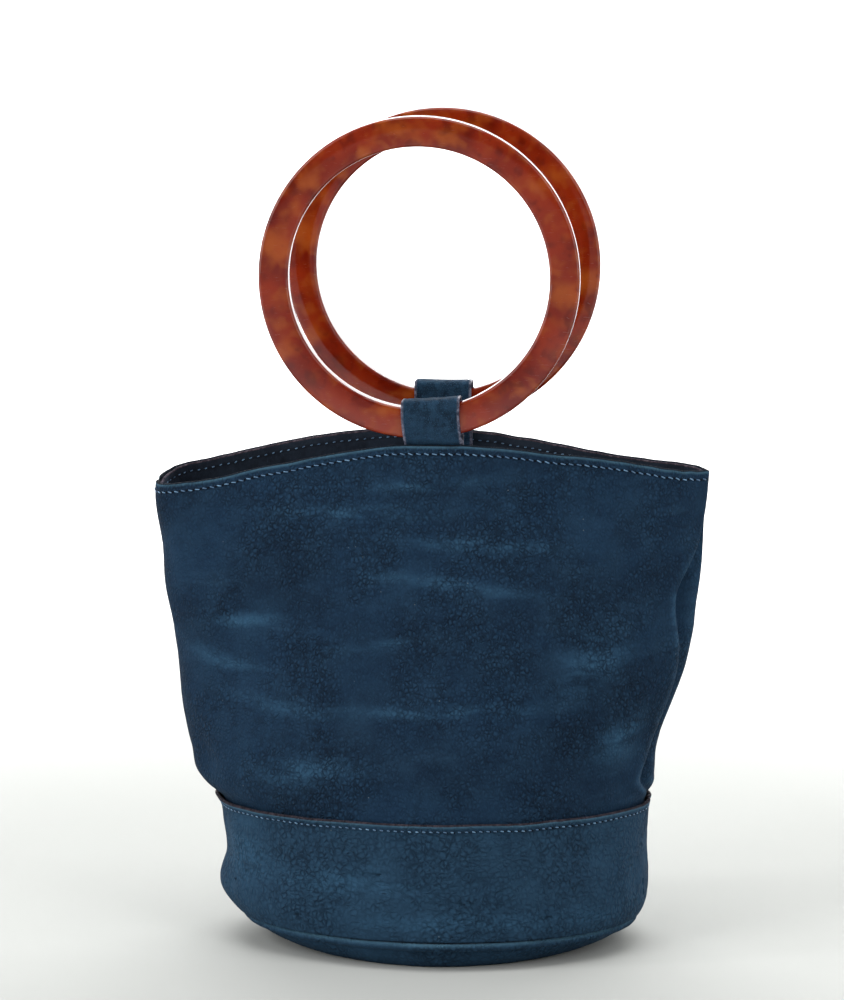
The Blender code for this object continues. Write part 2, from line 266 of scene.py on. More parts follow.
def creases(angle, z, rim):
    """Small pulls in the leather: under the stitches by the tabs, and across the band."""
    high = z / MM
    drop = (rim - z) / MM
    ripple = lumps(angle * 46 + 11, high / 9 + 20, 8)
    near_tab = sum(hump(np.abs(around(angle, way)), 27, 9) for way in (FRONT, BACK))
    out = 0.22 * ripple * near_tab * hump(drop, 13, 10)
    band = ease(high, 16, 26) * (1 - ease(high, 62, 72))
    sunk = np.abs(lumps(angle * 13 + 5, high / 4.6 + 9, 9))
    patches = ease(lumps(angle * 6 + 5, high / 18 + 2, 14), -0.3, 0.4)
    out = out - 0.26 * band * hump(sunk, 0, 0.16) * patches
    out = out + 0.16 * band * lumps(angle * 8 + 5, high / 8 + 2, 10)
    pebbles = lumps(angle * 30 + 4, high / 3.4 + 3, 11) * lumps(angle * 5 + 8, high / 22 + 1, 12)
    return (out + 0.14 * pebbles) * MM


def rim_height(angle):
    """Height of the rim, front and back, at an angle."""
    x = flat_wall(angle, np.full(np.shape(angle), RIM_TOP - RIM_DIP / 2))[..., 0] / MM
    cad = RIM_TOP - RIM_DIP * np.cos(angle) ** 2
    front = smooth_curve(FRONT_RIM, x)
    back = smooth_curve(BACK_RIM, x)
    wave = 0.35 * lumps(angle * 14 + 9, angle * 0 + 3.5, 21)
    return cad + (np.where(np.sin(angle) < 0, front, back) + wave) * MM


def wall(angle, z, outwards=0.0):
    """Point on the body, moved outwards from the outside of its leather."""
    step_angle, step_z = 1e-4, 1e-5
    rim = rim_height(angle)

    def surface(a, h):
        point = flat_wall(a, h)
        flat = np.stack([np.cos(a), np.sin(a), np.zeros_like(a)], -1)
        push = folds(a, h) + creases(a, h, rim)
        return point + flat * push[..., None]

    point = surface(angle, z)
    along = surface(angle + step_angle, z) - surface(angle - step_angle, z)
    up = surface(angle, z + step_z) - surface(angle, z - step_z)
    normal = np.cross(along, up)
    normal /= np.linalg.norm(normal, axis=-1, keepdims=True)
    up /= np.linalg.norm(up, axis=-1, keepdims=True)
    return point + normal * np.asarray(outwards)[..., None], normal, up


def seam_angle(z):
    """Angle of the right side seam."""
    return -np.radians(smooth_curve(RIGHT_SEAM_TURN, z / MM))


def half_angles(half, share, z):
    """Angles along the front half, from left to right, or the back half, from right to left."""
    if half == "front":
        return LEFT + (math.pi + seam_angle(z)) * share
    return seam_angle(z) + (math.pi - seam_angle(z)) * share


def line_lengths(points):
    steps = np.linalg.norm(np.diff(points, axis=0), axis=1)
    return np.concatenate([[0], np.cumsum(steps)])


def new_object(name, vertices, faces, material):
    mesh = bpy.data.meshes.new(name)
    mesh.from_pydata(np.asarray(vertices, float).reshape(-1, 3).tolist(), [], faces)
    mesh.validate()
    mesh.shade_smooth()
    mesh.materials.append(material)
    obj = bpy.data.objects.new(name, mesh)
    bpy.context.scene.collection.objects.link(obj)
    return obj


def set_vectors(obj, name, values):
    """A vector for each vertex, which the materials read by name."""
    attribute = obj.data.attributes.new(name, "FLOAT_VECTOR", "POINT")
    attribute.data.foreach_set("vector", np.ascontiguousarray(values, np.float32).ravel())


def set_marks(obj, grain, tone=None, sewn=None):
    """What the leather materials read.

    grain is the place in the pattern. tone holds how pale it is made by rubbing and by painted
    highlight, whether it is the flesh side, and whether it is painted. sewn holds the count of
    stitches along the row, and the distances in millimetres from the row and from the nearest edge.
    """
    set_vectors(obj, "grain", grain)
    set_vectors(obj, "tone", np.zeros(grain.shape) if tone is None else tone)
    set_vectors(obj, "sewn", np.full(grain.shape, FAR) if sewn is None else sewn)


def grid_faces(columns, ring, wrap):
    """Faces between columns of closed rings of vertices."""
    i, j = np.meshgrid(np.arange(columns if wrap else columns - 1), np.arange(ring), indexing="ij")
    ahead, above = (i + 1) % columns, (j + 1) % ring
    quads = np.stack([i * ring + j, ahead * ring + j, ahead * ring + above, i * ring + above], -1)
    return quads.reshape(-1, 4).tolist()


def strip_caps(columns, ring, rows, edge):
    """Faces that close a strip's two ends: rows up its outside, edge points over its top, and so on."""
    faces = []
    for start, flip in ((0, False), ((columns - 1) * ring, True)):
        outer = list(range(rows))
        inner = [rows + edge + k for k in range(rows)][::-1]
        top = list(range(rows, rows + edge))
        bottom = list(range(2 * rows + edge, ring))
        ends = [[outer[k], outer[k + 1], inner[k + 1], inner[k]] for k in range(rows - 1)]
        ends.append([outer[-1], *top, inner[-1]])
        ends.append([inner[0], *bottom, outer[0]])
        for face in ends:
            face = [start + k for k in face]
            faces.append(face[::-1] if flip else face)
    return faces


def column_shares(count):
    """Shares along a half of the body, closer together at the side seams."""
    even = np.linspace(0, 1, count)
    near = np.array([0.0010, 0.0022, 0.0045, 0.0075])
    return np.unique(np.concatenate([even, near, 1 - near]))


def leather_strip(name, half, row_heights, outer, inner, material, soften=0.0, stitch=None, lip=0.0):
    """A strip of leather round half of the body, with rounded upper and lower edges.

    row_heights gives the heights of the rows, from the bottom up, for each angle. outer and inner
    are the distances of its two faces from the wall. soften rounds the ends over at the side
    seams, and lip leans the upper edge out. stitch is (drop, pitch) of a row of sewing under its
    edge.
    """
    share = column_shares(COLUMNS)
    start = half_angles(half, share, np.full(len(share), RIM_TOP))
    for _ in range(2):
        heights = row_heights(start)
        start = half_angles(half, share, heights[:, -1])
    heights = row_heights(start)
    angles = half_angles(half, share[:, None], heights)
    reach = np.minimum(share, 1 - share)[:, None] * HALF_ROUND
    drawn = soften * (1 - ease(reach, 0, 2.2 * MM))
    lean = lip * hump(heights[:, -1:] - heights, 0, 3.2 * MM)
    point, normal, up = wall(angles, heights, lean)
    side = np.cross(up, normal)
    side /= np.linalg.norm(side, axis=-1, keepdims=True)
    at_end = reach[:, 0] < 1e-9
    shift = np.where(share < 0.5, 1, -1) * at_end * (GAP / 2)
    point = point - side * shift[:, None, None]
    rows = heights.shape[1]
    mid, thick = (outer + inner) / 2, (outer - inner) / 2
    turn = np.radians(np.linspace(0, 180, EDGE_POINTS + 2)[1:-1])

    def edge_points(row, way):
        across = mid + thick * np.cos(turn)[None, :, None] * way
        beyond = thick * np.sin(turn)[None, :, None] * way
        out = across - drawn[:, :, None] * (across > mid)
        return point[:, row, None] + normal[:, row, None] * out + up[:, row, None] * beyond

    outside = point + normal * (outer - drawn[..., None])
    inside = (point + normal * inner)[:, ::-1]
    rings = np.concatenate([outside, edge_points(-1, 1), inside, edge_points(0, -1)], axis=1)
    ring = rings.shape[1]
    faces = grid_faces(len(share), ring, False) + strip_caps(len(share), ring, rows, EDGE_POINTS)
    if half == "front":
        faces = [face[::-1] for face in faces]
    obj = new_object(name, rings, faces, material)
    tone = np.zeros(rings.shape)
    # Real rubbed streaks, plus a painted highlight along the side seams' ridges
    tone[:, :rows, 0] = wear_and_ridge_highlight(angles, heights) + 0.7 * np.exp(-((reach / (1.6 * MM)) ** 2))
    tone[:, rows : 2 * rows + EDGE_POINTS, 1] = 1
    sewn = np.full(rings.shape, FAR)
    below = heights[:, -1:] - heights + thick
    over = np.zeros((len(share), EDGE_POINTS))
    drop = np.concatenate([below, over, below[:, ::-1], over + 1], axis=1)
    if stitch:
        line, _, _ = wall(angles[:, -1], heights[:, -1] - stitch[0])
        arc = line_lengths(line)
        count = round(arc[-1] / stitch[1])
        sewn[..., 0] = (arc / arc[-1] * count)[:, None]
        sewn[..., 1] = (drop - thick - stitch[0]) / MM
    sewn[..., 2] = drop / MM
    set_marks(obj, rings, tone, sewn)
    return obj


def wear_and_ridge_highlight(angle, z):
    """How pale the nap is made, from 0 to 1: the rubbed streaks, which are wear, and a painted highlight
    on the ridge by the right seam.
    """
    high = z / MM
    total = 0
    for way, across, level, width, tall, slope in SMEARS:
        side = around(angle, way)
        rise = slope * (side - across)
        total = total + 0.9 * hump(side, across, width) * hump(high - rise, level, tall)
    turn = smooth_curve(RIGHT_SEAM_TURN, high)
    seam = around(angle, RIGHT) + turn
    # Painted highlight on the ridge and on the bulge beside it, by the right seam
    total = total + 0.6 * ease(turn, 4, 12) * (hump(seam, -3.5, 2.5) + 0.7 * hump(seam, 12, 6))
    return np.clip(total, 0, 1)


def stitch_row(
    name, half, line_height, outwards, pitch, slant, material, seed, face=1, length=0.34, thick=THREAD
):
    """A row of separate stitches on the wall, each a short bowed length of thread.

    face is -1 for a row on the inside. length is half a stitch's, as a share of the pitch.
    """
    share = np.linspace(0, 1, 900)

    def on_line(share):
        z = np.full(len(share), BAND_TOP)
        for _ in range(3):
            angle = half_angles(half, share, z)
            z = line_height(angle)
        return angle, z

    line, _, _ = wall(*on_line(share))
    arc = line_lengths(line)
    count = round(arc[-1] / pitch)
    middle = np.interp(np.arange(count) / count * arc[-1], arc, share)[1:]
    angle, z = on_line(middle)
    point, normal, _ = wall(angle, z, np.full(len(angle), outwards))
    ahead, _, _ = wall(angle + 0.002, line_height(angle + 0.002), np.full(len(angle), outwards))
    along = ahead - point
    along /= np.linalg.norm(along, axis=1, keepdims=True)
    normal = normal * face
    across = np.cross(normal, along)
    random = np.random.default_rng(seed)
    tilt = np.radians(slant + random.normal(0, 4, len(middle)))[:, None]
    way = along * np.cos(tilt) + across * np.sin(tilt)
    across = across * np.cos(tilt) - along * np.sin(tilt)
    half_length = pitch * (length + random.normal(0, 0.012, len(middle)))
    place = np.array([-1, -0.88, -0.55, 0, 0.55, 0.88, 1])
    radius = thick * np.array([0.35, 0.72, 0.96, 1.0, 0.96, 0.72, 0.35])
    bow = np.array([-0.42, -0.16, 0.10, 0.20, 0.10, -0.16, -0.42]) * MM
    sides = 7
    turn = np.linspace(0, 2 * math.pi, sides, endpoint=False)
    body = (
        point[:, None, None]
        + way[:, None, None] * (half_length[:, None] * place)[:, :, None, None]
        + normal[:, None, None] * (bow[:, None] + radius[:, None] * np.sin(turn))[None, :, :, None]
        + across[:, None, None] * (radius[:, None] * np.cos(turn))[None, :, :, None]
    )
    rings = len(place)
    size = rings * sides
    base = grid_faces(rings, sides, False)
    base += [list(range(sides))[::-1], list(range(size - sides, size))]
    faces = [[k + size * i for k in face] for i in range(len(middle)) for face in base]
    obj = new_object(name, body, faces, material)
    set_vectors(obj, "grain", body)
    return obj


class Shader:
    """A material's node tree, built from sockets."""

    def __init__(self, name):
        self.material = bpy.data.materials.new(name)
        self.material.use_nodes = True
        self.tree = self.material.node_tree
        self.surface = self.tree.nodes["Principled BSDF"]

    def node(self, kind, inputs=None, **settings):
        made = self.tree.nodes.new("ShaderNode" + kind)
        for key, value in settings.items():
            setattr(made, key, value)
        for key, value in (inputs or {}).items():
            self.put(made.inputs[key], value)
        return made

    def put(self, socket, value):
        if isinstance(value, bpy.types.NodeSocket):
            self.tree.links.new(value, socket)
        elif socket.type == "RGBA":
            socket.default_value = (*value, 1.0)
        else:
            socket.default_value = value

    def set(self, **values):
        for key, value in values.items():
            self.put(self.surface.inputs[key.replace("_", " ")], value)

    def attribute(self, name):
        return self.node("Attribute", attribute_name=name).outputs["Vector"]

    def split(self, vector):
        return self.node("SeparateXYZ", {0: vector}).outputs

    def math(self, operation, *values):
        made = self.node("Math", operation=operation)
        for socket, value in zip(made.inputs, values):
            self.put(socket, value)
        return made.outputs[0]

    def times(self, first, second):
        return self.math("MULTIPLY", first, second)

    def plus(self, first, second):
        return self.math("ADD", first, second)

    def stretch(self, vector, scale, shift=(0, 0, 0)):
        return self.node("Mapping", {"Vector": vector, "Scale": scale, "Location": shift}).outputs[0]

    def noise(self, vector, scale, detail=2.0, rough=0.5, distortion=0.0):
        inputs = {"Vector": vector, "Scale": scale, "Detail": detail, "Roughness": rough}
        inputs["Distortion"] = distortion
        return self.node("TexNoise", inputs).outputs["Fac"]

    def cells(self, vector, scale, feature):
        made = self.node("TexVoronoi", {"Vector": vector, "Scale": scale}, feature=feature)
        return made.outputs["Distance"]

    def between(self, value, low, high, start=0.0, end=1.0):
        inputs = {"Value": value, "From Min": low, "From Max": high, "To Min": start, "To Max": end}
        made = self.node("MapRange", inputs, interpolation_type="SMOOTHSTEP")
        return made.outputs["Result"]

    def mix(self, share, first, second):
        made = self.node("Mix", data_type="RGBA", blend_type="MIX")
        self.put(made.inputs[0], share)
        self.put(made.inputs[6], first)
        self.put(made.inputs[7], second)
        return made.outputs[2]

    def bump(self, height, distance, strength=1.0):
        inputs = {"Height": height, "Distance": distance, "Strength": strength}
        return self.node("Bump", inputs).outputs["Normal"]


def nubuck(name, cell, wrinkle=0.0, painted_top=0.0, pale=0.0, valley_shade_depth=0.88):
    """Buffed navy leather: pebble grain, cloudy colour, pale scuffs, specks and rubbed edges.
    Painted highlight lies on the pebble domes, the seam ridges and along the rubbed edges, and painted
    shade lies in the lines between pebbles, the creases, the sewing groove and the stitch holes.

    cell is the size of the pebbles in millimetres, wrinkle the share of long level creases,
    painted_top how far the raw upper edge shows, pale how far the whole piece is faded, and
    valley_shade_depth how dark the painted shade in the lines between pebbles is.
    """
    s = Shader(name)
    place = s.attribute("grain")
    tone = s.split(s.attribute("tone"))
    sewn = s.split(s.attribute("sewn"))
    cloud = s.noise(s.stretch(place, (1.0, 1.0, 1.5)), 17, 3, 0.55)
    blotch = s.noise(place, 62, 3, 0.6)
    smear = s.noise(s.stretch(place, (1.0, 1.0, 3.4), (0.31, 0.12, 0.77)), 26, 4, 0.62, 0.4)
    colour = s.mix(s.between(cloud, 0.34, 0.68), NAVY_DARK, NAVY)
    colour = s.mix(s.between(blotch, 0.32, 0.75, pale, pale + 0.28), colour, NAVY_PALE)
    colour = s.mix(s.between(smear, 0.57, 0.76, 0.0, 0.45), colour, NAVY_PALE)
    # Rubbed streaks are real wear; the paling by the seam ridges is painted highlight
    rub_and_highlight = s.times(tone[0], s.between(smear, 0.34, 0.62, 0.10, 1.0))
    colour = s.mix(s.times(rub_and_highlight, 0.95), colour, NAVY_RUBBED_AND_HIGHLIT)
    # Pebbles with painted highlight on their domes and painted shade in the lines between them, creases
    # with painted shade, and the nap
    wobble = s.node("TexNoise", {"Vector": place, "Scale": 230.0, "Detail": 1.0}).outputs["Color"]
    push = s.node("VectorMath", {0: wobble, 1: (0.0016,) * 3}, operation="MULTIPLY").outputs[0]
    bent = s.node("VectorMath", {0: place, 1: push}, operation="ADD").outputs[0]
    pebble = s.cells(s.stretch(bent, (1.0, 1.0, 0.82)), 1000 / cell, "DISTANCE_TO_EDGE")
    strong = s.between(s.noise(place, 26, 3, 0.6), 0.34, 0.62, 0.30, 1.0)
    broken = s.between(s.noise(place, 330, 2, 0.5), 0.34, 0.60, 0.40, 1.0)
    broken = s.times(strong, broken)
    valley = s.times(s.between(pebble, 0.0, 0.36, 1.0, 0.0), broken)
    painted_dome_highlight = s.times(s.between(pebble, 0.14, 0.45), strong)
    long_cells = s.cells(s.stretch(bent, (1.0, 1.0, 1.9)), 205, "DISTANCE_TO_EDGE")
    crease = s.between(long_cells, 0.0, 0.24, 1.0, 0.0)
    crease = s.times(crease, s.between(s.noise(place, 34, 3, 0.6), 0.40, 0.62))
    crease = s.times(crease, wrinkle)
    nap = s.noise(s.stretch(place, (1.0, 1.0, 0.45)), 1500, 3, 0.7)
    # Painted highlight on the pebble domes, and painted shade in the lines between pebbles and in the
    # creases
    colour = s.mix(s.times(painted_dome_highlight, 0.34), colour, NAVY_PALE)
    colour = s.mix(s.times(valley, valley_shade_depth), colour, NAVY_PAINTED_SHADE)
    colour = s.mix(s.times(crease, 0.50), colour, NAVY_PAINTED_SHADE)
    colour = s.mix(s.between(nap, 0.35, 0.75, 0.0, 0.30), colour, NAVY_PALE)
    # Specks of dust
    speck = s.cells(place, 150, "F1")
    chosen = s.noise(place, 60, 2, 0.6)
    dot = s.times(s.between(speck, 0.035, 0.06, 1.0, 0.0), s.between(chosen, 0.53, 0.60))
    colour = s.mix(s.times(dot, 0.6), colour, (0.10, 0.13, 0.15))
    # Rubbed edge, pale from real wear and from painted highlight on the rolled edges, and the holes and
    # groove of the sewing, darkened with painted shade
    rubbed = s.between(sewn[2], 0.2, 2.6, 0.85, 0.0)
    rubbed = s.times(rubbed, s.between(blotch, 0.25, 0.62, 0.55, 1.0))
    colour = s.mix(rubbed, colour, NAVY_EDGE_WEAR_AND_HIGHLIGHT)
    step = s.math("SUBTRACT", s.math("FRACT", sewn[0]), 0.5)
    away = s.node("CombineXYZ", {0: s.times(step, 3.8), 1: sewn[1]}).outputs[0]
    distance = s.node("VectorMath", {0: away}, operation="LENGTH").outputs["Value"]
    hole = s.between(distance, 0.34, 0.66, 1.0, 0.0)
    groove = s.between(s.math("ABSOLUTE", sewn[1]), 0.2, 1.3, 1.0, 0.0)
    # Painted shade: the sewing groove and the stitch holes are coloured dark
    colour = s.mix(s.times(groove, 0.35), colour, NAVY_PAINTED_SHADE)
    colour = s.mix(s.times(hole, 0.93), colour, (0.0008, 0.0014, 0.0030))
    # Flesh side, raw edge and painted edge
    inner = s.mix(s.between(nap, 0.3, 0.7), (0.0022, 0.0040, 0.0075), (0.0070, 0.0115, 0.0185))
    colour = s.mix(tone[1], colour, inner)
    fleck = s.noise(place, 420, 3, 0.6)
    paint = s.mix(s.between(fleck, 0.38, 0.66), (0.030, 0.030, 0.048), (0.150, 0.155, 0.210))
    edge = s.times(s.between(sewn[2], 0.5, 1.0, 1.0, 0.0), painted_top)
    brown = s.between(fleck, 0.35, 0.75, 0.1, 0.6)
    raw = s.mix(brown, (0.0085, 0.0060, 0.0090), (0.07, 0.060, 0.075))
    colour = s.mix(edge, colour, raw)
    colour = s.mix(s.times(tone[2], 0.95), colour, paint)
    # Relief
    height = s.times(valley, -1.0)
    height = s.plus(height, s.times(crease, -1.0))
    height = s.plus(height, s.times(nap, 0.12))
    height = s.plus(height, s.times(blotch, 0.50))
    height = s.plus(height, s.times(hole, -0.8))
    height = s.plus(height, s.times(groove, -0.35))
    rough = s.between(nap, 0.3, 0.7, 0.76, 0.94)
    rough = s.math("SUBTRACT", rough, s.times(tone[2], 0.5))
    s.set(Base_Color=colour, Roughness=rough, Normal=s.bump(height, 0.0005))
    s.set(Specular_IOR_Level=0.08)
    return s.material


def suede(name, dark, pale):
    """Napped flesh side of the leather, with short fibres lying both ways, and painted shade in the
    sewing groove.
    """
    s = Shader(name)
    place = s.attribute("grain")
    cloud = s.noise(place, 40, 3, 0.6)
    fibre = s.noise(s.stretch(place, (1.0, 1.0, 0.4)), 1100, 4, 0.7)
    tuft = s.noise(place, 320, 3, 0.65)
    colour = s.mix(s.between(cloud, 0.3, 0.7), dark, pale)
    colour = s.mix(s.between(tuft, 0.35, 0.7, 0.0, 0.5), colour, pale)
    colour = s.mix(s.between(fibre, 0.52, 0.75, 0.0, 0.4), colour, tuple(2 * c for c in pale))
    sewn = s.split(s.attribute("sewn"))
    groove = s.between(s.math("ABSOLUTE", sewn[1]), 0.2, 1.2, 1.0, 0.0)
    # Painted shade: the sewing groove is coloured dark
    colour = s.mix(s.times(groove, 0.5), colour, tuple(0.3 * c for c in dark))
    fleck = s.between(s.noise(place, 500, 3, 0.6), 0.4, 0.7)
    edge = s.mix(fleck, (0.016, 0.009, 0.012), (0.070, 0.052, 0.062))
    colour = s.mix(s.between(sewn[2], 0.45, 0.9, 1.0, 0.0), colour, edge)
    height = s.plus(s.times(fibre, 0.5), s.times(tuft, 0.5))
    s.set(Base_Color=colour, Roughness=0.95, Normal=s.bump(height, 0.0006))
    s.set(Specular_IOR_Level=0.15, Sheen_Weight=0.15, Sheen_Roughness=0.6, Sheen_Tint=(0.3, 0.4, 0.6))
    return s.material


def thread_material():
    """Twisted pale blue sewing thread."""
    s = Shader("blue_thread")
    place = s.attribute("grain")
    ply = s.noise(place, 1800, 2, 0.6)
    each = s.noise(place, 160, 1, 0.5)
    colour = s.mix(s.between(each, 0.35, 0.65), (0.040, 0.105, 0.200), (0.120, 0.250, 0.400))
    colour = s.mix(s.between(ply, 0.35, 0.6, 0.4, 0.0), colour, (0.02, 0.05, 0.11))
    s.set(Base_Color=colour, Roughness=0.55, Normal=s.bump(ply, 0.0002))
    s.set(Sheen_Weight=0.2, Sheen_Roughness=0.4)
    return s.material


def tortoiseshell():
    """Polished acetate: deep red-brown with soft amber clouds inside, and a few scratches."""
    s = Shader("tortoiseshell_acetate")
    place = s.node("TexCoord").outputs["Object"]
    cloud = s.noise(place, 80, 1.5, 0.5, 0.2)
    small = s.noise(s.stretch(place, (1, 1, 1), (0.4, 0.2, 0.1)), 140, 1.5, 0.5, 0.2)
    deep = s.noise(s.stretch(place, (1, 1, 1), (0.9, 0.5, 0.3)), 48, 1.5, 0.5, 0.2)
    colour = s.mix(s.between(deep, 0.34, 0.66), (0.105, 0.0060, 0.0016), (0.170, 0.0140, 0.0026))
    colour = s.mix(s.between(cloud, 0.46, 0.76, 0.0, 0.60), colour, (0.270, 0.0580, 0.0075))
    colour = s.mix(s.between(small, 0.52, 0.78, 0.0, 0.40), colour, (0.250, 0.0560, 0.0090))
    colour = s.mix(s.between(small, 0.46, 0.26, 0.0, 0.55), colour, (0.060, 0.0035, 0.0014))
    scratch = s.noise(s.stretch(place, (1, 1, 9)), 160, 2, 0.5, 1.5)
    mark = s.between(scratch, 0.685, 0.70, 0.0, 1.0)
    dust = s.between(s.cells(place, 95, "F1"), 0.025, 0.04, 1.0, 0.0)
    dust = s.times(dust, s.between(s.noise(place, 40, 2, 0.5), 0.55, 0.60))
    colour = s.mix(s.times(dust, 0.35), colour, (0.40, 0.30, 0.22))
    rough = s.plus(0.06, s.times(mark, 0.22))
    ripple = s.noise(place, 30, 1, 0.4)
    s.set(Base_Color=colour, Roughness=rough, Normal=s.bump(ripple, 0.0010, 0.35))
    s.set(IOR=1.5, Specular_IOR_Level=0.34, Subsurface_Weight=0.15, Subsurface_Scale=0.003)
    s.set(Subsurface_Radius=(1.0, 0.25, 0.08))
    return s.material


def tape_material():
    """Dark woven twill tape."""
    s = Shader("twill_tape")
    place = s.split(s.attribute("weave"))
    diagonal = s.plus(s.times(place[0], 1100.0), s.times(place[1], 1100.0))
    rib = s.between(s.math("PINGPONG", diagonal, 1.0), 0.1, 0.9)
    fuzz = s.noise(s.attribute("grain"), 1200, 3, 0.6)
    colour = s.mix(rib, (0.006, 0.010, 0.018), (0.020, 0.032, 0.052))
    colour = s.mix(s.between(fuzz, 0.5, 0.8, 0.0, 0.4), colour, (0.05, 0.07, 0.10))
    s.set(Base_Color=colour, Roughness=0.9, Normal=s.bump(s.plus(rib, fuzz), 0.0002))
    return s.material


def board_material():
    """Grey fibre board."""
    s = Shader("grey_board")
    place = s.attribute("grain")
    fibre = s.noise(s.stretch(place, (1.0, 0.35, 1.0)), 700, 4, 0.7)
    fleck = s.noise(place, 240, 3, 0.6)
    colour = s.mix(s.between(fibre, 0.35, 0.7), (0.16, 0.145, 0.125), (0.26, 0.245, 0.22))
    colour = s.mix(s.between(fleck, 0.62, 0.72, 0.0, 0.6), colour, (0.09, 0.08, 0.07))
    s.set(Base_Color=colour, Roughness=0.9, Normal=s.bump(fibre, 0.0003))
    return s.material


def add_panels(leather, thread):
    """Front and back panels, sewn to the facings under the rim."""
    def rows(angle):
        rim = rim_height(angle)
        low = np.full(len(angle), BAND_TOP - 8 * MM)
        body = low[:, None] + (rim - 9 * MM - low)[:, None] * np.linspace(0, 1, 118)
        top = rim[:, None] - np.linspace(8.5, 1.0, 16) * MM
        return np.concatenate([body, top], axis=1)

    pieces = []
    for half, seed in (("front", 5), ("back", 6)):
        obj = leather_strip(
            half + "_panel_leather", half, rows, 0.0, -LEATHER, leather, soften=SEAM_ROUND,
            stitch=(RIM_STITCH_DROP - EDGE_TO_ROWS, RIM_PITCH),
        )
        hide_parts(half + "_panel")
        pieces.append(obj)
        pieces.append(stitch_row(
            half + "_rim_stitches", half, lambda a: rim_height(a) - RIM_STITCH_DROP, 0.0,
            RIM_PITCH, -16, thread, seed,
        ))
    return pieces


def add_facings(material, thread):
    """Facings inside the rim, whose sewing shows on the inside."""
    def rows(angle):
        rim = rim_height(angle)
        return rim[:, None] - np.linspace(FACING_HEIGHT / MM, 1.1, 34) * MM

    outer = -LEATHER - GAP
    pieces = []
    for half, seed in (("front", 7), ("back", 8)):
        obj = leather_strip(
            half + "_facing_leather", half, rows, outer, outer - FACING, material,
            stitch=(RIM_STITCH_DROP - EDGE_TO_ROWS, RIM_PITCH),
        )
        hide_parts(half + "_facing")
        pieces.append(obj)
        pieces.append(stitch_row(
            half + "_facing_stitches", half, lambda a: rim_height(a) - RIM_STITCH_DROP,
            outer - FACING, RIM_PITCH, 12, thread, seed, face=-1, length=0.20,
        ))
    return pieces


def add_bands(leather, thread):
    """The band round the foot of the panels, with its sewn upper edge standing off them."""
    def edge(angle):
        return BAND_TOP + 0.5 * MM * lumps(angle * 5 + 3, angle * 0 + 2.5, 31)

    def rows(angle):
        share = np.concatenate([np.linspace(0, 0.90, 52), np.linspace(0.91, 1, 14)])
        return BAND_BOTTOM + 1 * MM + (edge(angle) - BAND_BOTTOM - 2 * MM)[:, None] * share

    pieces = []
    for half, seed in (("front", 9), ("back", 10)):
        obj = leather_strip(
            "base_band_" + half + "_leather", half, rows, BAND_OUTER, GAP, leather,
            soften=SEAM_ROUND, stitch=(BAND_STITCH_DROP - EDGE_TO_ROWS, BAND_PITCH), lip=0.9 * MM,
        )
        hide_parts("base_band_" + half)
        pieces.append(obj)
        pieces.append(stitch_row(
            half + "_band_stitches", half, lambda a: edge(a) - BAND_STITCH_DROP,
            BAND_OUTER + 0.2 * MM, BAND_PITCH, -10, thread, seed, length=0.32, thick=1.25 * THREAD,
        ))
    return pieces


def add_tapes(material):
    """Woven tapes over the side seams, inside."""
    pieces = []
    for name, seam in (("left_seam_tape", LEFT), ("right_seam_tape", RIGHT)):
        low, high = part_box(name)
        across = np.linspace(-TAPE_HALF, TAPE_HALF, 15)
        z = np.linspace(low.z, high.z - 4 * MM, 70)
        depth = np.interp(z, [BAND_TOP, RIM_TOP], [BASE_HALF[1], RIM_HALF[1]])
        middle = seam_angle(z) if seam == RIGHT else np.full(len(z), LEFT)
        angle = middle[None] + across[:, None] / depth[None]
        heights = np.broadcast_to(z, angle.shape)
        front, normal, _ = wall(angle, heights, np.full(angle.shape, -LEATHER - GAP))
        back = front - normal * TAPE_THICK
        rings = np.concatenate([front, back[:, ::-1]], axis=1)
        ring = rings.shape[1]
        faces = grid_faces(len(across), ring, False)
        faces += strip_caps(len(across), ring, len(z), 0)
        obj = new_object(name + "_weave", rings, faces, material)
        set_vectors(obj, "grain", rings)
        weave = np.zeros_like(rings)
        weave[..., 0] = across[:, None]
        weave[..., 1] = np.concatenate([z, z[::-1]])[None]
        set_vectors(obj, "weave", weave)
        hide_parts(name)
        pieces.append(obj)
    return pieces


def level_line(angle, z):
    """A line round the wall at height z, and the level way out from each of its points."""
    line, normal, _ = wall(angle, np.full(len(angle), z))
    level = normal * [1, 1, 0]
    return line, level / np.linalg.norm(level, axis=1, keepdims=True)


def add_welt(leather):
    """The rolled welt under the band."""
    angle = np.linspace(0, 2 * math.pi, 420, endpoint=False)
    radius = (WELT_HIGH.z - WELT_LOW.z) / 2
    line, level = level_line(angle, WELT_MIDDLE)
    line = line + level * (BAND_OUTER - radius)
    line[:, 2] = WELT_MIDDLE
    turn = np.linspace(0, 2 * math.pi, 14, endpoint=False)
    size = radius * (1 + 0.05 * lumps(angle * 14, angle * 0 + 1.5, 41))
    rings = (
        line[:, None]
        + level[:, None] * (size[:, None] * np.cos(turn) + WELT_PROUD)[..., None]
        + np.array([0, 0, 1.0]) * (size[:, None] * np.sin(turn))[..., None]
    )
    faces = grid_faces(len(angle), len(turn), True)
    obj = new_object("base_welt_leather", rings, faces, leather)
    sewn = np.full(rings.shape, FAR)
    # Painted highlight: a made-up edge distance, smallest on the welt's top, makes the top pale like a
    # rubbed edge
    sewn[..., 2] = 2.2 - 1.6 * np.sin(turn)
    set_marks(obj, rings, sewn=sewn)
    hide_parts("base_welt")
    return obj


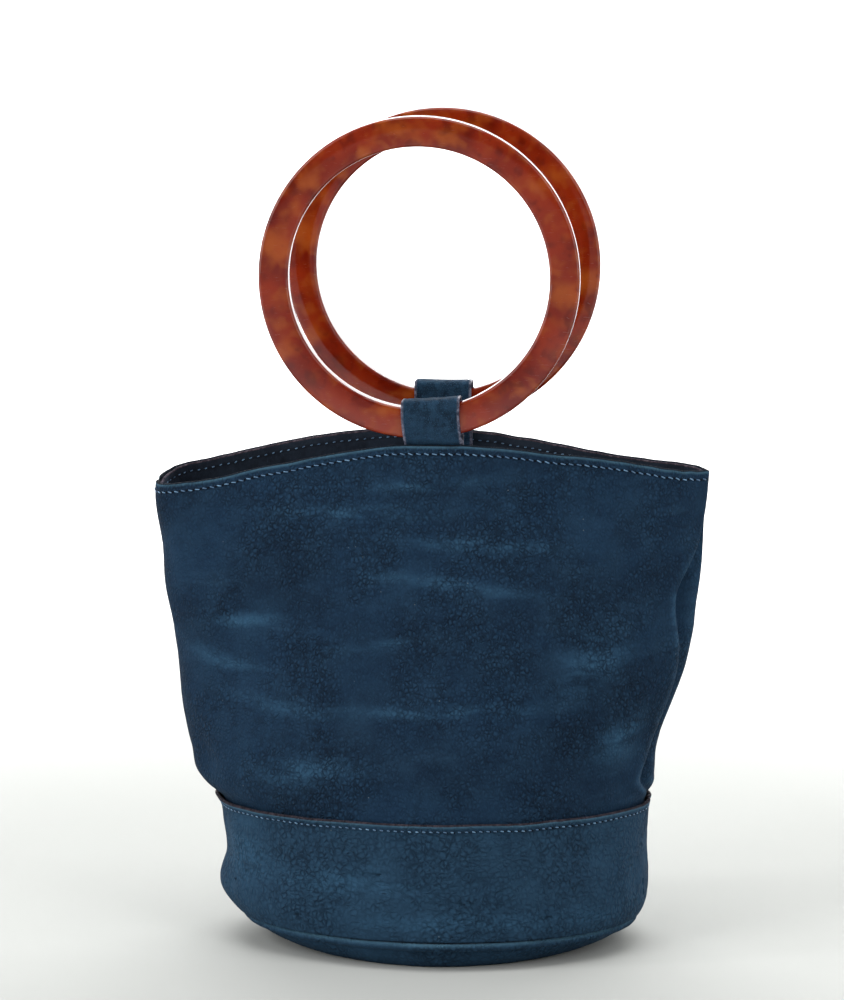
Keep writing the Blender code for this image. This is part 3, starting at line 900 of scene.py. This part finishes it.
def base_edge(angle, z, inwards=0.0):
    """The curled-up edge of the base at height z, moved inwards from its outside.

    Above the welt it stands up inside the band, where it is sewn.
    """
    if z > CURL_HIGH.z:
        return wall(angle, np.full(len(angle), z), BAND_OUTER - BASE_INSET - inwards)[0]
    line, level = level_line(angle, WELT_MIDDLE)
    reach = CURL_FRONT + CURL_SIDES * np.cos(angle) ** 2 - inwards
    climb = np.clip((z - inwards) / (CURL_HIGH.z - inwards), 0, 1)
    curl = 1 - np.sqrt(1 - (1 - climb) ** 2)
    point = line - level * (BASE_INSET - BAND_OUTER + inwards + reach * curl**0.65)[:, None]
    point[:, 2] = z
    return point


def add_plate(name, angle, z, thick, inwards, crown, material):
    """A flat piece that lies in the base, with a slightly crowned and uneven top."""
    edge = base_edge(angle, z, inwards)
    centre = edge.mean(axis=0)
    shares = np.array([0.15, 0.4, 0.65, 0.85, 0.95, 1.0])
    loops = np.stack([centre + (edge - centre) * k for k in [*shares, *shares[::-1]]], axis=1)
    top = np.arange(len(shares) * 2) < len(shares)
    bumps = lumps(loops[..., 0] / (12 * MM) + 30, loops[..., 1] / (12 * MM) + 30, 51)
    rise = thick + crown * (1 - np.concatenate([shares, shares])) + 0.12 * MM * bumps
    loops[..., 2] = z + np.where(top, rise, 0)
    plate = new_object(name, loops, grid_faces(len(angle), loops.shape[1], True), material)
    set_marks(plate, loops)
    return plate


def add_base(leather, lining_suede, board):
    """Leather base curled up to the welt, with the board and the suede lining on it."""
    angle = np.linspace(0, 2 * math.pi, 300, endpoint=False)
    rings = []
    for inwards, order in ((0.0, 1), (LEATHER, -1)):
        climb = 1 - np.cos(np.radians(np.linspace(90, 0, 13)))
        heights = inwards + (CURL_HIGH.z - inwards) * climb
        heights = np.concatenate([SEWN_IN, heights])
        loops = [base_edge(angle, z, inwards) for z in heights[::order]]
        edge = loops[-1 if order == 1 else 0]
        centre = edge.mean(axis=0)
        flat = [centre + (edge - centre) * share for share in (0.8, 0.5, 0.2)]
        rings += loops + flat if order == 1 else flat[::-1] + loops
    vertices = np.stack(rings, axis=1)
    ring = len(rings)
    obj = new_object("base_leather", vertices, grid_faces(len(angle), ring, True), leather)
    tone = np.zeros(vertices.shape)
    tone[:, ring // 2 :, 1] = 1
    set_marks(obj, vertices, tone)
    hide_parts("base_panel")
    thick = BOARD_HIGH.z - BOARD_LOW.z
    fibre = add_plate("base_board_fibre", angle, BOARD_LOW.z, thick, 3.6 * MM, 0, board)
    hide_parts("base_board")
    thick = LINING_HIGH.z - LINING_LOW.z
    lining = add_plate(
        "base_lining_suede", angle, LINING_LOW.z, thick, 3.0 * MM, 0.5 * MM, lining_suede
    )
    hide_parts("base_lining")
    return [obj, fibre, lining]


def tab_path(ring_low, ring_high, anchor_low, rim):
    """The strap's middle line in (distance outwards, z), round the ring and down inside the bag."""
    ring_half, ring_gap = 5.0 * MM, 0.25 * MM
    out = ring_half + ring_gap + TAB_THICK / 2
    leg = TAB_THICK / 2 + 0.03 * MM
    inner_leg = leg + 0.6 * MM
    corner = 2.2 * MM
    top = ring_high + TAB_SLACK + TAB_THICK / 2

    def bend(centre, *degrees):
        turns = [math.radians(k) for k in degrees]
        return [
            (centre + corner * math.cos(turn), top - corner + corner * math.sin(turn))
            for turn in turns
        ]

    return [
        (inner_leg, anchor_low), (inner_leg, rim - 8 * MM), (inner_leg, rim - 1.2 * MM),
        (leg + 2.2 * MM, rim + 1.5 * MM), (out - 0.7 * MM, ring_low - 0.3 * MM),
        (out, ring_low + 4 * MM), (out, top - corner - 2 * MM), (out, top - corner),
        *bend(out - corner, 30, 60, 90),
        (0, top),
        *bend(-out + corner, 90, 120, 150),
        (-out, top - corner), (-out, ring_low + 4 * MM), (-out + 0.7 * MM, ring_low - 0.3 * MM),
        (-leg - 1.6 * MM, rim + 1.5 * MM), (-leg, rim - 1.6 * MM), (-leg, rim - 8 * MM),
        (-leg, anchor_low),
    ]


def tab_section():
    """The strap's section: across it, outwards from its middle line, and how far it is painted."""
    thick = TAB_THICK / 2
    flat = np.array([-13.8, -13.4, -13.0, -12.7, -12.4, -12.1, -11.7, -11, -9, -7, -5, -3, -1])
    flat = np.concatenate([flat, -flat[::-1]]) * MM
    crease = -0.22 * MM * (hump(np.abs(flat), 12.4 * MM, 0.28 * MM))
    turn = np.radians(np.linspace(90, -90, 7)[1:-1])
    end = TAB_HALF - thick
    xs = np.concatenate([flat, end + thick * np.cos(turn), flat[::-1], -end - thick * np.cos(turn)])
    ns = np.concatenate([
        thick + crease, thick * np.sin(turn), np.full(len(flat), -thick), -thick * np.sin(turn),
    ])
    painted = 1 - ease(TAB_HALF - np.abs(flat), 0.9 * MM, 1.4 * MM)
    return xs, ns, np.concatenate([painted, np.ones(5), painted, np.ones(5)]), len(flat)


def add_tab(label, side, leather):
    """One strap: doubled inside the bag, up over the rim's edge and round the ring."""
    anchor_low, anchor_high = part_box(label + "_tab_anchor")
    ring_box_low, ring_box_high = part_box(label + "_ring")
    loop_low, loop_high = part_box(label + "_tab_loop")
    plane = (anchor_low.y + anchor_high.y) / 2
    ring_x = (ring_box_low.x + ring_box_high.x) / 2
    ring_bottom = ring_box_low.z
    ring_top = ring_bottom + RING_WIDTH
    inner_radius = (ring_box_high.x - ring_box_low.x) / 2 - RING_WIDTH
    path = np.array(tab_path(ring_bottom, ring_top, anchor_low.z, anchor_high.z + 1.2 * MM))
    steps = line_lengths(path)
    rows = np.unique(np.concatenate([np.linspace(0, steps[-1], 150), steps]))
    line = np.stack([np.interp(rows, steps, path[:, k]) for k in (0, 1)], -1)
    for _ in range(3):
        line[1:-1] = (line[:-2] + 2 * line[1:-1] + line[2:]) / 4
    tangent = np.gradient(line, axis=0)
    tangent /= np.linalg.norm(tangent, axis=1, keepdims=True)
    normal = np.stack([tangent[:, 1], -tangent[:, 0]], -1)

    xs, ns, paint, count = tab_section()
    high = line[:, 1, None]
    slant, raised, lean = TAB_LIES[label]
    offset = np.clip(xs - ring_x, -30 * MM, 30 * MM)
    curve = inner_radius - np.sqrt(inner_radius**2 - offset**2)
    lift = ease(high, ring_bottom, ring_top) * (0.2 * curve + slant * (xs + TAB_HALF) + raised)
    upright = 1 - ease(high, anchor_high.z, ring_bottom + 12 * MM)
    x = xs + lean * upright * ease(high, anchor_high.z - 6 * MM, anchor_high.z)
    y = plane + side * (line[:, 0, None] + normal[:, 0, None] * ns)
    z = high + normal[:, 1, None] * ns + lift
    rings = np.stack(np.broadcast_arrays(x, y, z), -1)

    ring = rings.shape[1]
    faces = grid_faces(len(rows), ring, False)
    last = (len(rows) - 1) * ring
    ends = [[k, k + 1, 2 * count + 3 - k, 2 * count + 4 - k] for k in range(count - 1)]
    ends.append(list(range(count - 1, count + 6)))
    ends.append([*range(2 * count + 4, ring), 0])
    faces += [face[::-1] for face in ends] + [[last + k for k in face] for face in ends]
    if side < 0:
        faces = [face[::-1] for face in faces]
    obj = new_object(label + "_tab_leather", rings, faces, leather)
    tone = np.zeros(rings.shape)
    scuff = hump(z, loop_high.z - 4 * MM, 5 * MM)
    tone[..., 0] = 0.8 * scuff * (0.5 + 0.5 * hump(xs, -3 * MM, 6 * MM))
    tone[..., 2] = paint
    sewn = np.full(rings.shape, FAR)
    sewn[..., 2] = 0.9 + (TAB_HALF - np.abs(xs)) / MM
    set_marks(obj, rings + np.array([0.3, 0.1 * side, 0.2]), tone, sewn)
    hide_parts(label + "_tab_anchor", label + "_tab_loop")
    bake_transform(obj)


def add_ring(label, material):
    """Polished ring handle of rounded square section, with its origin at its middle."""
    low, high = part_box(label + "_ring")
    outer = (high.x - low.x) / 2
    corner = 1.7 * MM
    half_width, half_thick = RING_WIDTH / 2 - corner, (high.y - low.y) / 2 - corner
    section = []
    for quarter, (across, face) in enumerate(((1, 1), (-1, 1), (-1, -1), (1, -1))):
        for k in range(8):
            turn = math.radians(90 * quarter + 90 * k / 7)
            section.append((
                across * half_width + corner * math.cos(turn),
                face * half_thick + corner * math.sin(turn),
            ))
    section = np.array(section)
    columns = 288
    angle = np.linspace(0, 2 * math.pi, columns, endpoint=False)[:, None]
    radius = outer - RING_WIDTH / 2 + section[:, 0]
    rings = np.stack(
        np.broadcast_arrays(np.cos(angle) * radius, section[:, 1], np.sin(angle) * radius), -1
    )
    faces = grid_faces(columns, len(section), True)
    obj = new_object(label + "_ring_acetate", rings, faces, material)
    obj.location = (low + high) / 2
    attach(obj, label + "_handle")
    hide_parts(label + "_ring")


def add_floor():
    """Pale floor that curves up into a white backdrop, coloured grey near the object as painted shade
    against the strong lamp light there, and white from 1.2 m out.
    """
    far_edge, bend, top, half = 3.2, 1.2, 6.0, 8.0
    turns = np.radians(np.linspace(9, 90, 10))
    profile = [(-half, 0.0), (far_edge, 0.0)]
    profile += [(far_edge + bend * math.sin(t), bend - bend * math.cos(t)) for t in turns]
    profile.append((far_edge + bend, top))
    vertices = [(x, y, z) for x in (-half, half) for y, z in profile]
    count = len(profile)
    faces = [(k, count + k, count + k + 1, k + 1) for k in range(count - 1)]
    s = Shader("pale_floor")
    place = s.node("TexCoord").outputs["Object"]
    tint = s.mix(s.noise(place, 3, 2, 0.5), (0.395, 0.405, 0.39), (0.425, 0.435, 0.42))
    distance = s.node("VectorMath", {0: place}, operation="LENGTH").outputs["Value"]
    # Painted shade: the floor is coloured grey within about a metre of the object, white beyond
    far = s.between(distance, 0.3, 1.2)
    s.set(Base_Color=s.mix(far, tint, (0.88, 0.88, 0.88)), Roughness=0.8)
    s.set(Specular_IOR_Level=0.1)
    new_object("studio_floor", vertices, faces, s.material)


def add_world():
    """White surroundings, dim in front of the object and bright behind it."""
    world = bpy.data.worlds.new("studio_world")
    bpy.context.scene.world = world
    world.use_nodes = True
    tree = world.node_tree
    back = tree.nodes["Background"]
    way = tree.nodes.new("ShaderNodeTexCoord")
    split = tree.nodes.new("ShaderNodeSeparateXYZ")
    ramp = tree.nodes.new("ShaderNodeMapRange")
    limits = {"From Min": -0.6, "From Max": 0.3, "To Min": 0.18, "To Max": 1.0}
    for key, value in limits.items():
        ramp.inputs[key].default_value = value
    tree.links.new(way.outputs["Generated"], split.inputs[0])
    tree.links.new(split.outputs["Y"], ramp.inputs["Value"])
    tree.links.new(ramp.outputs["Result"], back.inputs["Strength"])
    back.inputs["Color"].default_value = (1, 1, 1, 1)


def add_lights():
    for name, place, aim, size, power in LIGHTS:
        data = bpy.data.lights.new(name, "AREA")
        data.shape = "RECTANGLE"
        data.size, data.size_y = size
        data.energy = power
        light = bpy.data.objects.new(name, data)
        light.location = place
        way = Vector(aim) - Vector(place)
        light.rotation_euler = way.to_track_quat("-Z", "Y").to_euler()
        bpy.context.scene.collection.objects.link(light)


def add_camera():
    """Camera at the photograph's viewing angle: a little above, and a little to the right."""
    data = bpy.data.cameras.new("camera")
    data.lens = 158.4
    data.sensor_width = 36
    data.clip_end = 60
    camera = bpy.data.objects.new("camera", data)
    camera.location = (0.222, -2.188, 0.5805)
    camera.rotation_euler = (math.radians(80.83), 0, math.radians(6.0))
    bpy.context.scene.collection.objects.link(camera)
    bpy.context.scene.camera = camera
    bpy.context.scene.view_settings.view_transform = "Standard"


def main():
    leather = nubuck("navy_nubuck", 1.9, valley_shade_depth=0.80)
    band_leather = nubuck("navy_nubuck_band", 2.5, 0.5, 0.8, 0.74, 0.62)
    tab_leather = nubuck("navy_nubuck_tab", 0.9, pale=0.6)
    lining = suede("dark_suede", (0.0035, 0.0060, 0.0110), (0.0120, 0.0190, 0.0300))
    thread = thread_material()
    shell = tortoiseshell()
    on_bag = add_panels(leather, thread) + add_facings(lining, thread)
    on_bag += add_bands(band_leather, thread) + add_tapes(tape_material())
    on_bag.append(add_welt(band_leather))
    on_bag += add_base(band_leather, lining, board_material())
    for obj in on_bag:
        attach(obj, "bag")
    for label, side in (("front", -1), ("back", 1)):
        add_tab(label, side, tab_leather)
        add_ring(label, shell)
    add_floor()
    add_world()
    add_lights()
    add_camera()


main()
